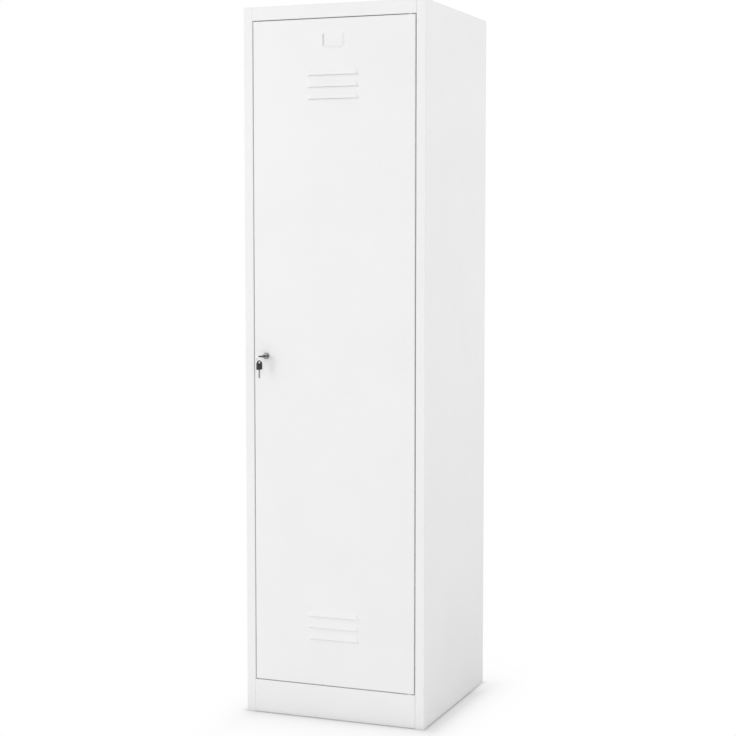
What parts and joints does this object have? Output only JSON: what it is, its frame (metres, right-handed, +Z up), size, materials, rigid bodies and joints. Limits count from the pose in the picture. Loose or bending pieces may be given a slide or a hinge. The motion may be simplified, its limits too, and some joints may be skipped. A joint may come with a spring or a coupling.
{
  "type": "metal broom cupboard",
  "caption": "Tall narrow cupboard of folded white sheet steel with a louvred door on pivot pins, a cam lock with keys, a shelf and hooks inside.",
  "frame": {"origin": "on the floor, under the centre of the whole object's footprint, with the keys in front and the screw heads behind included", "axes": "+Z up, the door faces -Y, +X is on the hinge side, to the right of someone facing the door"},
  "size_m": [0.5, 0.5422, 1.85],
  "materials": {
    "coated_steel": "satin powder coat, white",
    "zinc_screw": "bright zinc plate",
    "pivot_steel": "zinc plated",
    "nickel_lock": "polished nickel plate",
    "key_steel": "nickel plated, milled",
    "ring_steel": "bright wire",
    "head_plastic": "moulded, fine texture",
    "nylon": "moulded natural nylon",
    "rubber": "matt"
  },
  "bodies": {
    "cabinet": {"left_side_panel": "coated_steel", "right_side_panel": "coated_steel", "back_panel": "coated_steel", "top_cover": "coated_steel", "plinth": "coated_steel", "floor_panel": "coated_steel", "hat_shelf": "coated_steel", "shelf_runner_left": "coated_steel", "shelf_runner_right": "coated_steel", "hook_rail": "coated_steel", "hook_screws": "zinc_screw", "back_screws": "zinc_screw", "frame_screws": "zinc_screw", "upper_pivot_plate": "pivot_steel", "upper_pivot_pin": "pivot_steel", "lower_pivot_plate": "pivot_steel", "lower_pivot_pin": "pivot_steel", "pivot_washer": "nylon", "door_buffers": "rubber", "broom_hook_1": "pivot_steel", "broom_hook_2": "pivot_steel", "broom_hook_3": "pivot_steel", "broom_hook_4": "pivot_steel"},
    "door": {"door_skin": "coated_steel", "door_stiffener": "coated_steel", "upper_pivot_bush": "nylon", "lower_pivot_bush": "nylon", "lock_body": "nickel_lock", "lock_nut": "zinc_screw"},
    "lock_cylinder": {"lock_plug": "nickel_lock", "lock_cam": "pivot_steel", "cam_screw": "zinc_screw"},
    "key": {"key_blade": "key_steel", "key_head": "head_plastic"},
    "ring": {"key_ring": "ring_steel"},
    "spare_key": {"spare_key_blade": "key_steel", "spare_key_head": "head_plastic"}
  },
  "joints": [
    {"name": "door_swing", "type": "hinge", "parent": "cabinet", "child": "door", "pos_m": [0.2082, -0.22316, 0.95], "axis": [0, 0, 1], "range_deg": [0, 110]},
    {"name": "lock_turn", "type": "hinge", "parent": "door", "child": "lock_cylinder", "pos_m": [-0.1898, -0.23116, 0.95], "axis": [0, -1, 0], "range_deg": [0, 90]},
    {"name": "key_pull", "type": "slide", "parent": "lock_cylinder", "child": "key", "axis": [0, -1, 0], "range_m": [0, 0.03]},
    {"name": "ring_hang", "type": "hinge", "parent": "key", "child": "ring", "pos_m": [-0.19589, -0.26126, 0.95], "axis": [0, -1, 0], "range_deg": [-90, 0]},
    {"name": "spare_swing", "type": "hinge", "parent": "ring", "child": "spare_key", "pos_m": [-0.19589, -0.26126, 0.93664], "axis": [1, 0, 0], "range_deg": [-60, 30]}
  ],
  "couplings": [
    {"joint": "ring_hang", "follows": "lock_turn", "ratio": -1}
  ]
}
